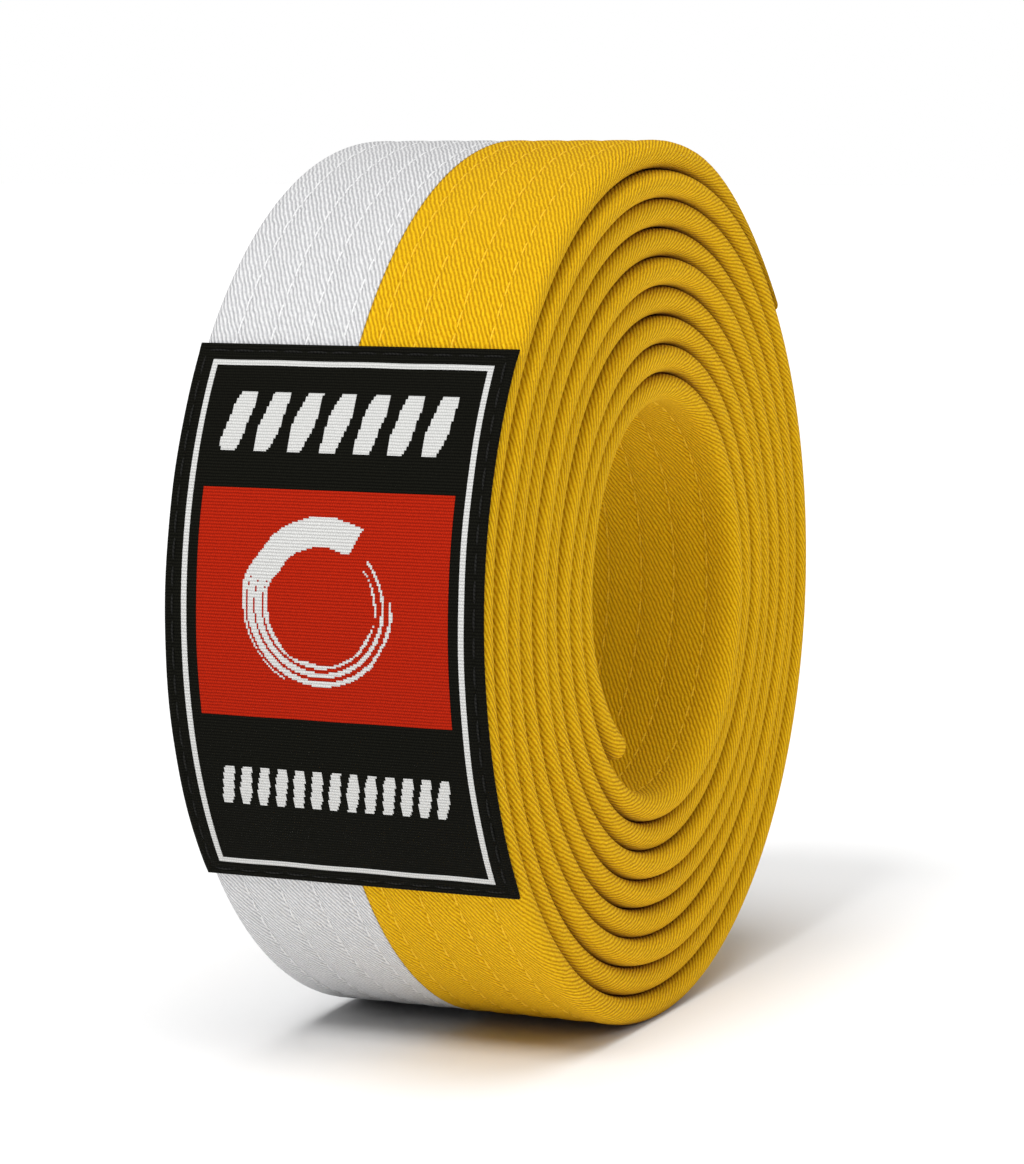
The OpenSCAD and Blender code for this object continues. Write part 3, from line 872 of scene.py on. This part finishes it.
def red_field():
    """The plain red field behind the emblem."""
    low, high = (math.radians(FIELD_MIDDLE + s * FIELD_HALF_TURN) * label_top for s in (-1, 1))
    ups = np.linspace(low, high, FIELD_STEPS[0])
    xs = np.linspace(-FIELD_HALF_WIDTH, FIELD_HALF_WIDTH, FIELD_STEPS[1])

    def everywhere(up, x):
        return np.ones(np.broadcast(up, x).shape, bool)
    figure("label_red_field_woven", "label_red_field", "label_red", ups, xs, everywhere,
           height=FIGURE_HEIGHT / 2)


THREAD_CELL = 0.22 * MM      # the smallest step in the outline of a woven figure


def emblem():
    """A plain brushed ring: thick where the brush lands, thin and broken up where it leaves."""
    radius, reach, middle = 8.4 * MM, 10.5 * MM, math.radians(FIELD_MIDDLE) * label_top
    start, end = 0.83, 0.95                              # of a whole turn of the brush
    half_landing, half_lost, drift_in = 1.7, 0.9, 0.9    # the stroke's half width and inward drift, mm
    streak_size, dry, wet = 0.16 * MM, 0.9, 2.6          # streaks open as the brush goes from wet to dry

    def inside(up, x):
        stroke = (np.arctan2(up - middle, x) / (2 * math.pi) + start) % 1
        distance = np.hypot(up - middle, x)
        ripple = 0.10 * MM * np.sin(37 * stroke) + 0.08 * MM * np.sin(61 * stroke)
        half = (half_landing - half_lost * stroke ** 1.5) * MM
        inked = np.sin((distance - radius) / streak_size) > dry - wet * (1 - stroke)
        near = np.abs(distance - radius + drift_in * MM * stroke + ripple) < half
        return near & (stroke < end) & inked
    ups = np.arange(middle - reach, middle + reach, THREAD_CELL)
    figure("label_emblem_woven", "label_emblem", "label_white", ups, ups - middle, inside)


def ornament(name, node, turns, count, half=14.5 * MM, slant=0.22):
    """A level row of plain slanted strokes, each a little narrower at both tips and slightly uneven."""
    low, high = (math.radians(turn) * label_top for turn in turns)
    pitch = 2 * half / count
    stroke_half, tip_loss, unevenness = 0.31, 0.10, 0.02    # in parts of the pitch
    tip_power, room_for_slant = 2.5, 1.12
    reach = half * room_for_slant

    def inside(up, x):
        rise = (up - low) / (high - low)
        upright_x = x - slant * (up - (low + high) / 2)
        along_row = (upright_x + half) / pitch
        from_middle = np.abs(along_row % 1 - 0.5)
        wobble = np.sin(9 * rise + 5 * np.floor(along_row))
        width = stroke_half - tip_loss * np.abs(2 * rise - 1) ** tip_power + unevenness * wobble
        return (from_middle < width) & (np.abs(upright_x) < half)
    figure(name, node, "label_white", np.arange(low, high, THREAD_CELL),
           np.arange(-reach, reach, THREAD_CELL), inside)


def label_edge_stitches():
    """The stitches that hold the label on, all round its border."""
    inset_low, inset_high = label_span[0] + EDGE_INSET, label_span[1] - EDGE_INSET
    side = label_half - EDGE_INSET
    cloth = LABEL_THICK - STITCH_SINK

    def on_side(along, across, height):
        return on_label(along, across, height + cloth)

    def on_level(along, across, height):
        return on_label(across, along, height + cloth)
    runs = [(spaced(inset_low, inset_high), x, on_side) for x in (-side, side)]
    runs += [(spaced(-side, side), up, on_level) for up in (inset_low, inset_high)]
    piece = stitches("label_edge_stitches_thread", runs, MATERIALS["black_thread"])
    place(piece, "roll", ["label_edge_stitches"])


label_patch()
frame_line()
red_field()
emblem()
ornament("label_upper_strokes_woven", "label_upper_bar", turns=(20.4, 28.0), count=7)
ornament("label_lower_strokes_woven", "label_lower_bar", turns=(-23.3, -18.0), count=13)
label_edge_stitches()

# ---- floor, light and camera ----

CAMERA_AZIMUTH = math.radians(23.91)
CAMERA_ELEVATION = math.radians(6.45)
CAMERA_DISTANCE = 0.45
CAMERA_FIELD = math.radians(18.09)   # upright angle of view
AIM = Vector((0, -1.76 * MM, roll_height - 0.5 * MM))
IMAGE_WIDTH, IMAGE_HEIGHT = 1024, 1164
SENSOR_HEIGHT = 24                   # mm
FLOOR_REACH = 20.0
FLOOR_GAP = 0.02 * MM                # keeps the floor clear of the rim's flat


def direction(azimuth, elevation):
    """Unit vector from the object towards a camera or a light; azimuth 0 is in front, on -Y."""
    level = math.cos(elevation)
    return Vector((math.sin(azimuth) * level, -math.cos(azimuth) * level, math.sin(elevation)))


def add_floor():
    """A pale floor right under the part, for pictures only."""
    mesh = bpy.data.meshes.new("floor")
    corners = [(x * FLOOR_REACH, y * FLOOR_REACH, 0) for x, y in ((-1, -1), (1, -1), (1, 1), (-1, 1))]
    mesh.from_pydata(corners, [], [(0, 1, 2, 3)])
    floor = bpy.data.objects.new("floor", mesh)
    floor.location.z = cad_low.z - FLOOR_GAP
    bpy.context.scene.collection.objects.link(floor)
    s = Shader("pale_floor", roughness=0.9, sheen=0.0, specular=0.0)
    s.surface.inputs["Base Color"].default_value = (0.82, 0.82, 0.82, 1)
    mesh.materials.append(s.material)
    return floor


def add_world(strength_seen, strength_lighting):
    """A white backdrop that the camera sees brighter than the light it gives."""
    world = bpy.data.worlds.new("studio")
    world.use_nodes = True
    tree = world.node_tree
    background = tree.nodes["Background"]
    background.inputs["Color"].default_value = (1, 1, 1, 1)
    path = tree.nodes.new("ShaderNodeLightPath")
    mix = tree.nodes.new("ShaderNodeMix")
    mix.inputs["A"].default_value = strength_lighting
    mix.inputs["B"].default_value = strength_seen
    tree.links.new(path.outputs["Is Camera Ray"], mix.inputs["Factor"])
    tree.links.new(mix.outputs["Result"], background.inputs["Strength"])
    bpy.context.scene.world = world


def add_sun(name, strength, softness, azimuth, elevation):
    """A light so large and far that it falls evenly. Its softness and both angles are in degrees."""
    light = bpy.data.lights.new(name, "SUN")
    light.energy = strength
    light.angle = math.radians(softness)
    lamp = bpy.data.objects.new(name, light)
    towards = direction(math.radians(azimuth), math.radians(elevation))
    lamp.rotation_euler = towards.to_track_quat("Z", "Y").to_euler()
    lamp.location = towards
    bpy.context.scene.collection.objects.link(lamp)
    return lamp


def light_only(lamp, receiver):
    """Lets a lamp light one object; everything else still throws its shadow there."""
    receivers = bpy.data.collections.new(f"{lamp.name}_receivers")
    receivers.objects.link(receiver)
    lamp.light_linking.receiver_collection = receivers


def add_camera():
    """The photo's camera, as fitted to the roll's outlines."""
    data = bpy.data.cameras.new("camera")
    data.sensor_fit = "VERTICAL"
    data.sensor_height = SENSOR_HEIGHT
    data.sensor_width = data.sensor_height * IMAGE_WIDTH / IMAGE_HEIGHT
    data.lens = data.sensor_height / 2 / math.tan(CAMERA_FIELD / 2)
    data.clip_start = 0.01
    data.clip_end = 100
    camera = bpy.data.objects.new("camera", data)
    back = direction(CAMERA_AZIMUTH, CAMERA_ELEVATION)
    camera.location = AIM + back * CAMERA_DISTANCE
    camera.rotation_euler = back.to_track_quat("Z", "Y").to_euler()
    bpy.context.scene.collection.objects.link(camera)
    bpy.context.scene.camera = camera


pale_floor = add_floor()
add_world(strength_seen=1.0, strength_lighting=0.26)
add_sun("key", strength=1.80, softness=17, azimuth=-4, elevation=47)
add_sun("top", strength=0.64, softness=45, azimuth=35, elevation=74)
add_sun("side", strength=0.50, softness=30, azimuth=75, elevation=36)
light_only(add_sun("floor_wash", strength=1.45, softness=40, azimuth=10, elevation=76), pale_floor)
add_camera()
bpy.context.scene.view_settings.view_transform = "Standard"
